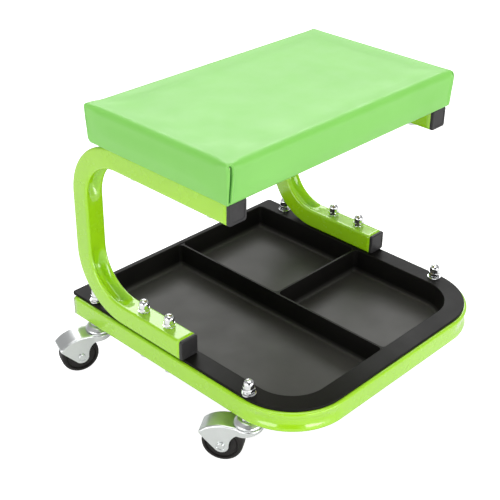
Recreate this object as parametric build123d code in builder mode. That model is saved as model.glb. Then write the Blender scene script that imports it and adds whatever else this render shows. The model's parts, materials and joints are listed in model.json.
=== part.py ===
from build123d import *

import os
from math import acos, atan2, cos, degrees, hypot, radians, sin

# Mechanic's creeper seat: a tube base with a tool tray, two C-shaped side frames,
# a padded seat and four swivel casters.
# Millimetres. The floor is z = 0, +Z is up, the front is -Y and the width runs along X.
# The origin is on the floor, at the middle of the whole object's length and width.

# ---------------------------------------------------------------- driving dimensions
# Square tube
TUBE = 25.4
TUBE_WALL = 1.5
TUBE_CORNER = 3.0
BEND_RADIUS = 65.0  # centre line of every bend

# Whole object
LENGTH = 378.0  # front of the base tube to the rear of the tray
BASE_WIDTH = 368.0
BASE_BOTTOM = 63.5  # mounting height of the casters
SEAT_TOP = 364.0

# Tool tray
FLANGE_THICKNESS = 3.2
FLANGE_SETBACK = 4.0  # strip of base tube left bare outside the flange
FLANGE_FRONT_CORNER = 73.0
FLANGE_REAR_CORNER = 4.5
OPENING_HALF_WIDTH = 155.5
OPENING_FRONT_LAND = 24.5
OPENING_REAR_LAND = 7.0
OPENING_FRONT_CORNER = 49.0
POCKET_CORNER = 6.0
TRAY_WALL = 2.5
TRAY_DEPTH = 32.7
TRAY_DRAFT = 2.0
DIVIDER = 2.4
DIVIDER_DROP = 1.3  # divider tops below the flange top
CROSS_DIVIDER_Y = 8.0
FLANGE_EDGE_ROUND = 1.0
OPENING_RIM_ROUND = 1.2
POCKET_FLOOR_ROUND = 3.5
PAN_FLOOR_ROUND = 4.0

# Side frames
LEG_TIP_Y = -13.0
ARM_TIP_Y = -87.5
SIDE_FRAME_REAR = 166.0

# Seat
SEAT_HALF_WIDTH = 187.0  # at the top
SEAT_FRONT = -92.5
SEAT_REAR = 123.5
SEAT_HEIGHT = 45.4
SEAT_PULL_IN = 2.5  # each side, top to bottom
SEAT_CORNER = 8.0
SEAT_TOP_ROUND = 9.5
SEAT_BOTTOM_ROUND = 4.0
COVER = 1.2
COVER_LIP = 36.0
BOARD = 12.0
BOARD_INSET = 5.2  # each side, from the seat's widest outline
BOARD_CORNER = 5.0
BOARD_EDGE = 1.5
SOFT_GAP = 0.3
T_NUT_FLANGE_RADIUS = 9.5
T_NUT_FLANGE = 1.2
T_NUT_BARREL_RADIUS = 4.0
T_NUT_BARREL = 9.0
STAPLE_CROWN = 10.0
STAPLE_WIRE = 1.0
STAPLE_LEG = 8.0
STAPLE_LINE = 6.0  # from the lip's free edge
STAPLE_LINE_ENDS = 4.0
STAPLE_PITCH = 38.0
STAPLE_PITCH_ENDS = 34.0

# Fastener places along each side
REAR_CASTER_Y = 150.5
FRONT_CASTER_Y = -110.0
LEG_BOLT_Y = (17.0, 60.5)
SEAT_BOLT_Y = (-54.0, 66.0)

# Fasteners
M8 = 4.0
M8_HOLE = 4.25
M8_THREAD_BORE = 4.05
NUT_ACROSS_FLATS = 13.0
NUT_HEX_HEIGHT = 4.2
NUT_DOME_RADIUS = 6.15
NUT_HEIGHT = 15.0
NUT_BORE_DEPTH = 12.0
LOCK_WASHER_RADIUS = 7.25
LOCK_WASHER = 2.0
LOCK_WASHER_SPLIT = 1.4
LOCK_WASHER_SPLIT_ANGLE = 20.0
FLAT_WASHER_RADIUS = 8.5
FLAT_WASHER = 1.6
M8_HEAD = 5.3
M6 = 3.0
M6_HOLE = 3.3
M6_HEAD_ACROSS_FLATS = 10.0
M6_HEAD = 4.0
M6_WASHER_RADIUS = 8.0
M6_WASHER = 1.6
THREAD_PAST_NUT_FACE = 11.0

# Push-in caps
PLUG_DEPTH = 12.0
PLUG_WALL = 1.6
PLUG_GAP = 0.15
CAP_HEAD = 4.0
CAP_HEAD_ROUND = 1.5
CAP_HEAD_THIN = 1.2
CAP_HEAD_THIN_ROUND = 0.8
CAP_BORDER = 3.4  # around the shallow panel in a cap's face
CAP_PANEL = 0.4

# Caster, in its own frame: +X is the way the wheel trails, the floor is z = 0
WHEEL_RADIUS = 24.0
WHEEL_WIDTH = 21.0
HUB_WIDTH = 23.4
TRAIL = 28.0
FORK_GAP = 24.0
FORK_PLATE = 2.0
FORK_NOSE = 17.5
FORK_TOP = 51.5
FORK_TAIL = 55.0
FORK_TAIL_Z = 38.5
FORK_TAIL_ROUND = 4.0
FORK_NECK_ROUND = 10.0
FORK_EDGE_ROUND = 2.5
HOOD_START = 14.0
HOOD_POINTS = ((24.5, 52.2), (36.0, 50.4), (46.5, 45.8))
HOOD_END_SLOPE = -1.0
SKIRT_NOSE_Z = 47.6
SKIRT_MIDDLE_Z = 43.4
SKIRT_POINTS = ((17.6, 32.0), (11.0, 40.6))
BOSS_RADIUS = 9.0
AXLE_RADIUS = 3.0
AXLE_HEAD_RADIUS = 4.5
AXLE_DIMPLE_RADIUS = 6.0
AXLE_DIMPLE = 0.5
AXLE_HEAD = 1.5
BUSH_RADIUS = 4.0
RUNNING_GAP = 0.05
KING_PIN = 5.0
PIN_FOOT_RADIUS = 7.5
PIN_FOOT_Z = 45.6
PIN_FOOT = 1.9
RETAINER_RADIUS = 9.5
RETAINER_Z = 47.6
RETAINER = 1.7
COLLAR_ACROSS_FLATS = 17.0
CUP_RADIUS = 16.5
CUP_RIM_Z = 52.2
CUP_RIM_WIDTH = 1.4
CUP_TOP_Z = 59.0
CUP_TOP_RADIUS = 9.8
CUP_SHOULDER = (14.6, 56.0)
CUP_INSIDE_RADIUS = 14.2
CUP_INSIDE_Z = 53.6
BALL = 2.0
BALL_CIRCLE = 11.0
BALL_Z = 52.8
BALL_COUNT = 12
# Corner: x side, y, and the way the wheel trails in degrees from +X
CASTERS = {
    "rear_left": (-1, REAR_CASTER_Y, 160.0),
    "rear_right": (1, REAR_CASTER_Y, 20.0),
    "front_left": (-1, FRONT_CASTER_Y, 121.0),
    "front_right": (1, FRONT_CASTER_Y, 59.0),
}

# ---------------------------------------------------------------- derived places
TUBE_X = (BASE_WIDTH - TUBE) / 2
TUBE_BORE = TUBE - 2 * TUBE_WALL
FRONT_FACE = -LENGTH / 2
TRAY_REAR = LENGTH / 2
BASE_Z = BASE_BOTTOM + TUBE / 2
BASE_TOP = BASE_BOTTOM + TUBE
BASE_TUBE_REAR = 181.0 - CAP_HEAD_THIN
FLANGE_TOP = BASE_TOP + FLANGE_THICKNESS
FLANGE_HALF_WIDTH = BASE_WIDTH / 2 - FLANGE_SETBACK
OPENING_FRONT = FRONT_FACE + FLANGE_SETBACK + OPENING_FRONT_LAND
OPENING_REAR = TRAY_REAR - OPENING_REAR_LAND
TRAY_FLOOR_Z = FLANGE_TOP - TRAY_DEPTH
LEG_Z = FLANGE_TOP + TUBE / 2
LEG_TOP = FLANGE_TOP + TUBE
SEAT_BOTTOM = SEAT_TOP - SEAT_HEIGHT
ARM_Z = SEAT_BOTTOM - TUBE / 2
ARM_BOTTOM = SEAT_BOTTOM - TUBE
UPRIGHT_Y = SIDE_FRAME_REAR - TUBE / 2
SEAT_Y = (SEAT_FRONT + SEAT_REAR) / 2
SEAT_DEPTH = SEAT_REAR - SEAT_FRONT
SEAT_TAPER = degrees(atan2(SEAT_PULL_IN, SEAT_HEIGHT))
BOARD_BOTTOM = SEAT_BOTTOM + COVER
BOARD_TOP = BOARD_BOTTOM + BOARD

CASTER_POINTS = [(side * TUBE_X, y) for side, y, _ in CASTERS.values()]
LEG_BOLT_POINTS = [(side * TUBE_X, y) for side in (-1, 1) for y in LEG_BOLT_Y]
SEAT_BOLT_POINTS = [(side * TUBE_X, y) for side in (-1, 1) for y in SEAT_BOLT_Y]

os.makedirs("parts", exist_ok=True)


def save(part, name):
    """Label one finished piece and write it as its own file."""
    part.label = name
    export_step(part, f"parts/{name}.step")


def at_height(points, z):
    """The given plan points, all at height z."""
    return [(x, y, z) for x, y in points]


def tube_profile(plane):
    """Cross section of the square tube on the given plane."""
    with BuildSketch(plane) as profile:
        RectangleRounded(TUBE, TUBE, TUBE_CORNER)
        RectangleRounded(TUBE_BORE, TUBE_BORE, TUBE_CORNER - TUBE_WALL, mode=Mode.SUBTRACT)
    return profile.sketch


# ---------------------------------------------------------------- base frame
with BuildPart() as base_frame:
    with BuildLine(Plane.XY.offset(BASE_Z)) as base_path:
        FilletPolyline(
            (-TUBE_X, BASE_TUBE_REAR),
            (-TUBE_X, FRONT_FACE + TUBE / 2),
            (TUBE_X, FRONT_FACE + TUBE / 2),
            (TUBE_X, BASE_TUBE_REAR),
            radius=BEND_RADIUS,
        )
    base_start = Plane(origin=base_path.line @ 0, x_dir=(1, 0, 0), z_dir=base_path.line % 0)
    sweep(sections=tube_profile(base_start), path=base_path.line)
    with Locations(*at_height(CASTER_POINTS + LEG_BOLT_POINTS, BASE_TOP)):
        Hole(M8_HOLE)
save(base_frame.part, "base_frame")


# ---------------------------------------------------------------- side frames
def side_frame(side):
    """C-shaped tube that opens to the front: leg on the tray flange, arm under the seat."""
    with BuildPart() as frame:
        with BuildLine(Plane.YZ.offset(side * TUBE_X)) as path:
            FilletPolyline(
                (LEG_TIP_Y, LEG_Z),
                (UPRIGHT_Y, LEG_Z),
                (UPRIGHT_Y, ARM_Z),
                (ARM_TIP_Y, ARM_Z),
                radius=BEND_RADIUS,
            )
        start = Plane(origin=path.line @ 0, x_dir=(1, 0, 0), z_dir=path.line % 0)
        sweep(sections=tube_profile(start), path=path.line)
        with Locations(*[(side * TUBE_X, y, LEG_Z) for y in LEG_BOLT_Y]):
            Hole(M8_HOLE, depth=TUBE)
        with Locations(*[(side * TUBE_X, y, ARM_Z) for y in SEAT_BOLT_Y]):
            Hole(M6_HOLE, depth=TUBE)
    return frame.part


save(side_frame(-1), "side_frame_left")
save(side_frame(1), "side_frame_right")


# ---------------------------------------------------------------- tube caps
def tube_cap(tube_end, outward, head, edge_round):
    """Push-in cap: a hollow square plug in the tube and a head outside its end."""
    with BuildPart() as cap:
        with BuildSketch(Plane(origin=tube_end, x_dir=(1, 0, 0), z_dir=outward)):
            RectangleRounded(TUBE, TUBE, TUBE_CORNER)
        extrude(amount=head)
        fillet(cap.faces().sort_by(Axis(tube_end, outward))[-1].edges(), radius=edge_round)
        panel = TUBE - 2 * CAP_BORDER
        with BuildSketch(Plane(origin=tube_end, x_dir=(1, 0, 0), z_dir=outward).offset(head)):
            RectangleRounded(panel, panel, TUBE_CORNER)
        extrude(amount=-CAP_PANEL, mode=Mode.SUBTRACT)
        plug = TUBE_BORE - 2 * PLUG_GAP
        with BuildSketch(Plane(origin=tube_end, x_dir=(1, 0, 0), z_dir=outward)):
            RectangleRounded(plug, plug, TUBE_CORNER - TUBE_WALL - PLUG_GAP)
            Rectangle(plug - 2 * PLUG_WALL, plug - 2 * PLUG_WALL, mode=Mode.SUBTRACT)
        extrude(amount=-PLUG_DEPTH)
    return cap.part


FRONT = (0, -1, 0)
REAR = (0, 1, 0)
for side, side_name in ((-1, "left"), (1, "right")):
    side_x = side * TUBE_X
    base_cap = tube_cap((side_x, BASE_TUBE_REAR, BASE_Z), REAR, CAP_HEAD_THIN, CAP_HEAD_THIN_ROUND)
    leg_cap = tube_cap((side_x, LEG_TIP_Y, LEG_Z), FRONT, CAP_HEAD, CAP_HEAD_ROUND)
    seat_arm_cap = tube_cap((side_x, ARM_TIP_Y, ARM_Z), FRONT, CAP_HEAD, CAP_HEAD_ROUND)
    save(base_cap, f"base_cap_{side_name}")
    save(leg_cap, f"leg_cap_{side_name}")
    save(seat_arm_cap, f"seat_arm_cap_{side_name}")


# ---------------------------------------------------------------- tool tray
def tray_outline(x_low, x_high, y_front, y_rear, z, corners):
    """Rectangle at height z with its own radius at each corner.

    corners: front low x, front high x, rear low x, rear high x.
    """
    with BuildSketch(Plane.XY.offset(z)) as outline:
        with Locations(((x_low + x_high) / 2, (y_front + y_rear) / 2)):
            Rectangle(x_high - x_low, y_rear - y_front)
        points = [(x_low, y_front), (x_high, y_front), (x_low, y_rear), (x_high, y_rear)]
        for point, radius in zip(points, corners):
            nearest = outline.vertices().sort_by_distance((*point, z))[0]
            fillet(nearest, radius=radius)
    return outline.sketch


POCKET_TOP = FLANGE_TOP - DIVIDER_DROP
POCKET_DEPTH = POCKET_TOP - TRAY_FLOOR_Z
POCKETS = (
    # x_low, x_high, y_front, y_rear, corner radii
    (-OPENING_HALF_WIDTH, -DIVIDER / 2, OPENING_FRONT, OPENING_REAR,
     (OPENING_FRONT_CORNER, POCKET_CORNER, POCKET_CORNER, POCKET_CORNER)),
    (DIVIDER / 2, OPENING_HALF_WIDTH, OPENING_FRONT, CROSS_DIVIDER_Y - DIVIDER / 2,
     (POCKET_CORNER, OPENING_FRONT_CORNER, POCKET_CORNER, POCKET_CORNER)),
    (DIVIDER / 2, OPENING_HALF_WIDTH, CROSS_DIVIDER_Y + DIVIDER / 2, OPENING_REAR,
     (POCKET_CORNER, POCKET_CORNER, POCKET_CORNER, POCKET_CORNER)),
)
WALL_CORNERS = (OPENING_FRONT_CORNER, OPENING_FRONT_CORNER, POCKET_CORNER, POCKET_CORNER)

with BuildPart() as tool_tray:
    # Flange
    add(tray_outline(-FLANGE_HALF_WIDTH, FLANGE_HALF_WIDTH, FRONT_FACE + FLANGE_SETBACK, TRAY_REAR,
                     BASE_TOP, (FLANGE_FRONT_CORNER, FLANGE_FRONT_CORNER,
                                FLANGE_REAR_CORNER, FLANGE_REAR_CORNER)))
    extrude(amount=FLANGE_THICKNESS)
    fillet(tool_tray.faces().sort_by(Axis.Z)[-1].edges(), radius=FLANGE_EDGE_ROUND)
    # Drafted pan below it, still solid
    add(tray_outline(-OPENING_HALF_WIDTH - TRAY_WALL, OPENING_HALF_WIDTH + TRAY_WALL,
                     OPENING_FRONT - TRAY_WALL, OPENING_REAR + TRAY_WALL, BASE_TOP,
                     [radius + TRAY_WALL for radius in WALL_CORNERS]))
    extrude(amount=-(BASE_TOP - TRAY_FLOOR_Z + TRAY_WALL), taper=TRAY_DRAFT)
    fillet(tool_tray.faces().sort_by(Axis.Z)[0].edges(), radius=PAN_FLOOR_ROUND)
    # Shallow opening above the dividers
    add(tray_outline(-OPENING_HALF_WIDTH, OPENING_HALF_WIDTH, OPENING_FRONT, OPENING_REAR,
                     FLANGE_TOP, WALL_CORNERS))
    extrude(amount=-DIVIDER_DROP, mode=Mode.SUBTRACT)
    # Three drafted pockets, which leave the two dividers standing
    for x_low, x_high, y_front, y_rear, corners in POCKETS:
        add(tray_outline(x_low, x_high, y_front, y_rear, POCKET_TOP, corners))
        extrude(amount=-POCKET_DEPTH, taper=TRAY_DRAFT, mode=Mode.SUBTRACT)
    pocket_floors = tool_tray.faces().filter_by(Axis.Z).filter_by_position(
        Axis.Z, TRAY_FLOOR_Z - 0.1, TRAY_FLOOR_Z + 0.1)
    fillet(pocket_floors.edges(), radius=POCKET_FLOOR_ROUND)
    opening_rim = tool_tray.faces().filter_by(Axis.Z).sort_by(Axis.Z)[-1].inner_wires()[0].edges()
    fillet(opening_rim, radius=OPENING_RIM_ROUND)
    with Locations(*at_height(CASTER_POINTS + LEG_BOLT_POINTS, FLANGE_TOP)):
        Hole(M8_HOLE)
save(tool_tray.part, "tool_tray")


# ---------------------------------------------------------------- seat
def pad_block(inset):
    """The seat's padded shape, shrunk by inset on every side."""
    narrow = 2 * (SEAT_PULL_IN + inset)
    with BuildPart() as block:
        with BuildSketch(Plane.XY.offset(SEAT_BOTTOM + inset)):
            with Locations((0, SEAT_Y)):
                RectangleRounded(2 * SEAT_HALF_WIDTH - narrow, SEAT_DEPTH - narrow, SEAT_CORNER - inset)
        extrude(amount=SEAT_HEIGHT - 2 * inset, taper=-SEAT_TAPER)
        fillet(block.faces().sort_by(Axis.Z)[-1].edges(), radius=SEAT_TOP_ROUND - inset)
        fillet(block.faces().sort_by(Axis.Z)[0].edges(), radius=SEAT_BOTTOM_ROUND - inset)
    return block.part


with BuildPart() as seat_cover:
    add(pad_block(0))
    add(pad_block(COVER), mode=Mode.SUBTRACT)
    # Opening underneath, inside the turned-in lip
    with BuildSketch(Plane.XY.offset(SEAT_BOTTOM)):
        with Locations((0, SEAT_Y)):
            Rectangle(2 * (SEAT_HALF_WIDTH - COVER_LIP), SEAT_DEPTH - 2 * COVER_LIP)
    extrude(amount=COVER, mode=Mode.SUBTRACT)
    with Locations(*at_height(SEAT_BOLT_POINTS, SEAT_BOTTOM)):
        Hole(M6_HOLE, depth=COVER)
save(seat_cover.part, "seat_cover")

with BuildPart() as seat_board:
    with BuildSketch(Plane.XY.offset(BOARD_BOTTOM)):
        with Locations((0, SEAT_Y)):
            board_width = 2 * (SEAT_HALF_WIDTH - BOARD_INSET)
            RectangleRounded(board_width, SEAT_DEPTH - 2 * BOARD_INSET, BOARD_CORNER)
    extrude(amount=BOARD)
    chamfer(seat_board.faces().sort_by(Axis.Z)[0].edges(), length=BOARD_EDGE)
    with Locations(*at_height(SEAT_BOLT_POINTS, BOARD_TOP)):
        Hole(T_NUT_BARREL_RADIUS + RUNNING_GAP)
save(seat_board.part, "seat_board")

with BuildPart() as seat_foam:
    add(pad_block(COVER + SOFT_GAP))
    with BuildSketch(Plane.XY.offset(BOARD_TOP + SOFT_GAP)):
        with Locations((0, SEAT_Y)):
            Rectangle(3 * SEAT_HALF_WIDTH, 3 * SEAT_DEPTH)
    extrude(amount=-SEAT_HEIGHT, mode=Mode.SUBTRACT)
    # Pockets over the nuts that stand on the board
    with BuildSketch(Plane.XY.offset(BOARD_TOP)):
        with Locations(*SEAT_BOLT_POINTS):
            Circle(T_NUT_FLANGE_RADIUS + 1)
    extrude(amount=T_NUT_FLANGE + 1.5, mode=Mode.SUBTRACT)
save(seat_foam.part, "seat_foam")

with BuildPart() as seat_t_nuts:
    with BuildSketch(Plane.XY.offset(BOARD_TOP)):
        with Locations(*SEAT_BOLT_POINTS):
            Circle(T_NUT_FLANGE_RADIUS)
    extrude(amount=T_NUT_FLANGE)
    with BuildSketch(Plane.XY.offset(BOARD_TOP)):
        with Locations(*SEAT_BOLT_POINTS):
            Circle(T_NUT_BARREL_RADIUS)
    extrude(amount=-T_NUT_BARREL)
    with Locations(*at_height(SEAT_BOLT_POINTS, BOARD_TOP)):
        Hole(M6 + RUNNING_GAP)
save(seat_t_nuts.part, "seat_t_nuts")


def staple(along_x):
    """One wire staple, its crown under the turned-in cover and its legs up in the board."""
    reach = STAPLE_CROWN / 2
    plane = Plane.XZ if along_x else Plane.YZ
    with BuildPart() as wire:
        with BuildSketch(plane):
            with BuildLine():
                Polyline(
                    (-reach, STAPLE_LEG),
                    (-reach, -STAPLE_WIRE),
                    (reach, -STAPLE_WIRE),
                    (reach, STAPLE_LEG),
                    (reach - STAPLE_WIRE, STAPLE_LEG),
                    (reach - STAPLE_WIRE, 0),
                    (-reach + STAPLE_WIRE, 0),
                    (-reach + STAPLE_WIRE, STAPLE_LEG),
                    close=True,
                )
            make_face()
        extrude(amount=STAPLE_WIRE / 2, both=True)
    return wire.part


staple_x = SEAT_HALF_WIDTH - COVER_LIP + STAPLE_LINE_ENDS
staple_y = SEAT_DEPTH / 2 - COVER_LIP + STAPLE_LINE
with BuildPart() as seat_staples:
    with Locations((0, SEAT_Y, SEAT_BOTTOM)):
        with GridLocations(STAPLE_PITCH, 2 * staple_y, 8, 2):
            add(staple(True))
        with GridLocations(2 * staple_x, STAPLE_PITCH_ENDS, 2, 4):
            add(staple(False))
save(seat_staples.part, "seat_staples")


# ---------------------------------------------------------------- fasteners
def hex_blank(across_flats, height):
    """Hexagonal prism on z = 0 with its corners turned off at both ends."""
    corner_radius = across_flats / 2 / cos(radians(30))
    turned = 0.7
    with BuildPart() as blank:
        with BuildSketch():
            RegularPolygon(corner_radius, 6)
        extrude(amount=height)
        with BuildSketch(Plane.XZ) as envelope:
            with BuildLine():
                Polyline(
                    (0, 0),
                    (across_flats / 2, 0),
                    (corner_radius, turned),
                    (corner_radius, height - turned),
                    (across_flats / 2, height),
                    (0, height),
                    close=True,
                )
            make_face()
        revolve(axis=Axis.Z, mode=Mode.INTERSECT)
    return blank.part


def acorn_nut():
    """Domed M8 nut standing on z = 0."""
    with BuildPart() as nut:
        add(hex_blank(NUT_ACROSS_FLATS, NUT_HEX_HEIGHT))
        with BuildSketch(Plane.XY.offset(NUT_HEX_HEIGHT)):
            Circle(NUT_DOME_RADIUS)
        extrude(amount=NUT_HEIGHT - NUT_DOME_RADIUS - NUT_HEX_HEIGHT)
        with Locations((0, 0, NUT_HEIGHT - NUT_DOME_RADIUS)):
            Sphere(NUT_DOME_RADIUS)
        with BuildSketch():
            Circle(M8_THREAD_BORE)
        extrude(amount=NUT_BORE_DEPTH, mode=Mode.SUBTRACT)
        chamfer(nut.faces().sort_by(Axis.Z)[0].inner_wires().edges(), length=0.5)
    return nut.part


def lock_washer():
    """Split spring washer standing on z = 0."""
    with BuildPart() as washer:
        with BuildSketch():
            Circle(LOCK_WASHER_RADIUS)
            Circle(M8_HOLE, mode=Mode.SUBTRACT)
            with Locations(((LOCK_WASHER_RADIUS + M8_HOLE) / 2, 0)):
                Rectangle(LOCK_WASHER_RADIUS, LOCK_WASHER_SPLIT, rotation=LOCK_WASHER_SPLIT_ANGLE,
                          mode=Mode.SUBTRACT)
        extrude(amount=LOCK_WASHER)
    return washer.part


def flat_washer(radius, hole, thickness):
    """Plain washer standing on z = 0."""
    with BuildPart() as washer:
        with BuildSketch():
            Circle(radius)
            Circle(hole, mode=Mode.SUBTRACT)
        extrude(amount=thickness)
        chamfer(washer.faces().sort_by(Axis.Z)[-1].outer_wire().edges(), length=0.3)
    return washer.part


def hex_bolt(shank_radius, across_flats, head, length):
    """Bolt with its head below z = 0 and its shank above."""
    with BuildPart() as bolt:
        with Locations((0, 0, -head)):
            add(hex_blank(across_flats, head))
        with BuildSketch():
            Circle(shank_radius)
        extrude(amount=length)
        chamfer(bolt.faces().sort_by(Axis.Z)[-1].edges(), length=0.6)
    return bolt.part


def group(piece, points, z):
    """Copies of one piece at plan points, all standing at height z."""
    with BuildPart() as copies:
        with Locations(*at_height(points, z)):
            add(piece)
    return copies.part


LEG_NUT_Z = LEG_TOP + LOCK_WASHER
CASTER_NUT_Z = FLANGE_TOP + FLAT_WASHER + LOCK_WASHER
FRAME_BOLT_FACE = BASE_BOTTOM - FLAT_WASHER
SEAT_BOLT_FACE = ARM_BOTTOM - M6_WASHER

frame_bolt_length = LEG_NUT_Z + THREAD_PAST_NUT_FACE - FRAME_BOLT_FACE
save(group(hex_bolt(M8, NUT_ACROSS_FLATS, M8_HEAD, frame_bolt_length), LEG_BOLT_POINTS,
           FRAME_BOLT_FACE), "frame_bolts")
save(group(flat_washer(FLAT_WASHER_RADIUS, M8_HOLE, FLAT_WASHER), LEG_BOLT_POINTS,
           FRAME_BOLT_FACE), "frame_bolt_washers")
save(group(lock_washer(), LEG_BOLT_POINTS, LEG_TOP), "frame_lock_washers")
save(group(acorn_nut(), LEG_BOLT_POINTS, LEG_NUT_Z), "frame_acorn_nuts")
save(group(flat_washer(FLAT_WASHER_RADIUS, M8_HOLE, FLAT_WASHER), CASTER_POINTS,
           FLANGE_TOP), "caster_flat_washers")
save(group(lock_washer(), CASTER_POINTS, FLANGE_TOP + FLAT_WASHER), "caster_lock_washers")
save(group(acorn_nut(), CASTER_POINTS, CASTER_NUT_Z), "caster_acorn_nuts")
seat_bolt_length = BOARD_TOP + T_NUT_FLANGE - SEAT_BOLT_FACE
save(group(hex_bolt(M6, M6_HEAD_ACROSS_FLATS, M6_HEAD, seat_bolt_length), SEAT_BOLT_POINTS,
           SEAT_BOLT_FACE), "seat_bolts")
save(group(flat_washer(M6_WASHER_RADIUS, M6_HOLE, M6_WASHER), SEAT_BOLT_POINTS,
           SEAT_BOLT_FACE), "seat_bolt_washers")


# ---------------------------------------------------------------- caster
def hood_line(drop):
    """Side view of the fork's top, nose to tail, lowered by drop."""
    Line((-FORK_NOSE - 2, FORK_TOP - drop), (HOOD_START, FORK_TOP - drop))
    Spline(
        (HOOD_START, FORK_TOP - drop),
        *[(x, z - drop) for x, z in HOOD_POINTS],
        (FORK_TAIL, FORK_TAIL_Z - drop),
        tangents=((1, 0), (1, HOOD_END_SLOPE)),
    )


def fork_plan(inset):
    """Plan of the fork: a round nose and parallel cheeks with a rounded tail."""
    width = FORK_GAP + 2 * FORK_PLATE - 2 * inset
    with BuildSketch() as plan:
        Circle(FORK_NOSE - inset)
        with Locations((FORK_TAIL / 2 - inset / 2, 0)):
            Rectangle(FORK_TAIL - inset, width)
        necks = [v for v in plan.vertices() if 0 < v.X < FORK_NOSE]
        fillet(necks, radius=FORK_NECK_ROUND + inset)
        fillet(plan.vertices().group_by(Axis.X)[-1], radius=FORK_TAIL_ROUND - inset)
    return plan.sketch


def fork_outer():
    """The fork's outside, solid, with its top edge rounded."""
    axle = Vector(TRAIL, WHEEL_RADIUS)
    tail = Vector(FORK_TAIL, FORK_TAIL_Z)
    reach = tail - axle
    tangent_angle = atan2(reach.Y, reach.X) - acos(BOSS_RADIUS / hypot(reach.X, reach.Y))
    boss_end = axle + Vector(cos(tangent_angle), sin(tangent_angle)) * BOSS_RADIUS
    boss_start = axle - Vector(BOSS_RADIUS, 0)
    with BuildPart() as outer:
        add(fork_plan(0))
        extrude(amount=2 * FORK_TOP)
        with BuildSketch(Plane.XZ):
            with BuildLine():
                hood_line(0)
                Line(tail, boss_end)
                ThreePointArc(boss_end, axle - Vector(0, BOSS_RADIUS), boss_start)
                Spline(boss_start, *SKIRT_POINTS, (0, SKIRT_MIDDLE_Z), tangents=((0, 1), (-1, 0.22)))
                Polyline((0, SKIRT_MIDDLE_Z), (-FORK_NOSE - 2, SKIRT_NOSE_Z),
                         (-FORK_NOSE - 2, FORK_TOP))
            make_face()
        extrude(amount=2 * FORK_GAP, both=True, mode=Mode.INTERSECT)
        top_faces = outer.faces().filter_by(lambda face: face.normal_at().Z > 0.3)
        top_edges = [edge for edge in top_faces.edges()
                     if abs((edge @ 0.5).Y) > 2 or abs((edge @ 0.5).X + FORK_NOSE) < 1]
        fillet(top_edges, radius=FORK_EDGE_ROUND)
    return outer.part


def fork_inner():
    """The space under the fork's plate."""
    with BuildPart() as inner:
        add(fork_plan(FORK_PLATE))
        extrude(amount=2 * FORK_TOP)
        with BuildSketch(Plane.XZ):
            with BuildLine():
                hood_line(FORK_PLATE)
                Polyline((FORK_TAIL, FORK_TAIL_Z - FORK_PLATE), (FORK_TAIL, -5), (-FORK_NOSE - 2, -5),
                         (-FORK_NOSE - 2, FORK_TOP - FORK_PLATE))
            make_face()
        extrude(amount=2 * FORK_GAP, both=True, mode=Mode.INTERSECT)
    return inner.part


def ball_groove():
    """Ring of running space around the circle of balls."""
    with BuildPart() as groove:
        with Locations((0, 0, BALL_Z)):
            Torus(BALL_CIRCLE, BALL + RUNNING_GAP)
    return groove.part


AXLE_PLANE = Plane(origin=(TRAIL, 0, WHEEL_RADIUS), x_dir=(1, 0, 0), z_dir=(0, -1, 0))
CHEEK = FORK_GAP / 2 + FORK_PLATE

with BuildPart() as caster_fork:
    add(fork_outer())
    add(fork_inner(), mode=Mode.SUBTRACT)
    add(ball_groove(), mode=Mode.SUBTRACT)
    with BuildSketch(AXLE_PLANE):
        Circle(AXLE_RADIUS + RUNNING_GAP)
    extrude(amount=2 * FORK_GAP, both=True, mode=Mode.SUBTRACT)
    for cheek_side in (-1, 1):
        with BuildSketch(AXLE_PLANE.offset(cheek_side * CHEEK)):
            Circle(AXLE_DIMPLE_RADIUS)
        extrude(amount=-cheek_side * AXLE_DIMPLE, mode=Mode.SUBTRACT)
    with BuildSketch(Plane.XY.offset(FORK_TOP)):
        Circle(KING_PIN + RUNNING_GAP)
    extrude(amount=-2 * FORK_PLATE, mode=Mode.SUBTRACT)

with BuildPart() as caster_stem:
    with BuildSketch(Plane.XY.offset(PIN_FOOT_Z)):
        Circle(PIN_FOOT_RADIUS)
    extrude(amount=PIN_FOOT)
    fillet(caster_stem.faces().sort_by(Axis.Z)[0].edges(), radius=1.2)
    with BuildSketch(Plane.XY.offset(PIN_FOOT_Z + PIN_FOOT)):
        Circle(KING_PIN)
    extrude(amount=CUP_TOP_Z - PIN_FOOT_Z - PIN_FOOT)
    with Locations((0, 0, CUP_TOP_Z)):
        add(hex_blank(COLLAR_ACROSS_FLATS, BASE_BOTTOM - CUP_TOP_Z))
    with BuildSketch(Plane.XY.offset(BASE_BOTTOM)):
        Circle(M8)
    extrude(amount=CASTER_NUT_Z + THREAD_PAST_NUT_FACE - BASE_BOTTOM)
    chamfer(caster_stem.faces().sort_by(Axis.Z)[-1].edges(), length=0.6)

with BuildPart() as caster_cup:
    with BuildSketch(Plane.XZ):
        with BuildLine():
            bore = KING_PIN + RUNNING_GAP
            Polyline((bore, CUP_TOP_Z), (bore, CUP_INSIDE_Z), (CUP_INSIDE_RADIUS, CUP_INSIDE_Z),
                     (CUP_RADIUS - CUP_RIM_WIDTH, CUP_RIM_Z), (CUP_RADIUS, CUP_RIM_Z))
            Spline((CUP_RADIUS, CUP_RIM_Z), CUP_SHOULDER, (CUP_TOP_RADIUS, CUP_TOP_Z),
                   tangents=((0, 1), (-1, 0)))
            Line((CUP_TOP_RADIUS, CUP_TOP_Z), (bore, CUP_TOP_Z))
        make_face()
    revolve(axis=Axis.Z)
    add(ball_groove(), mode=Mode.SUBTRACT)

with BuildPart() as caster_balls:
    with Locations((0, 0, BALL_Z)):
        with PolarLocations(BALL_CIRCLE, BALL_COUNT):
            Sphere(BALL)

with BuildPart() as caster_retainer:
    with BuildSketch(Plane.XY.offset(RETAINER_Z)):
        Circle(RETAINER_RADIUS)
        Circle(KING_PIN + RUNNING_GAP, mode=Mode.SUBTRACT)
    extrude(amount=RETAINER)

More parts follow.
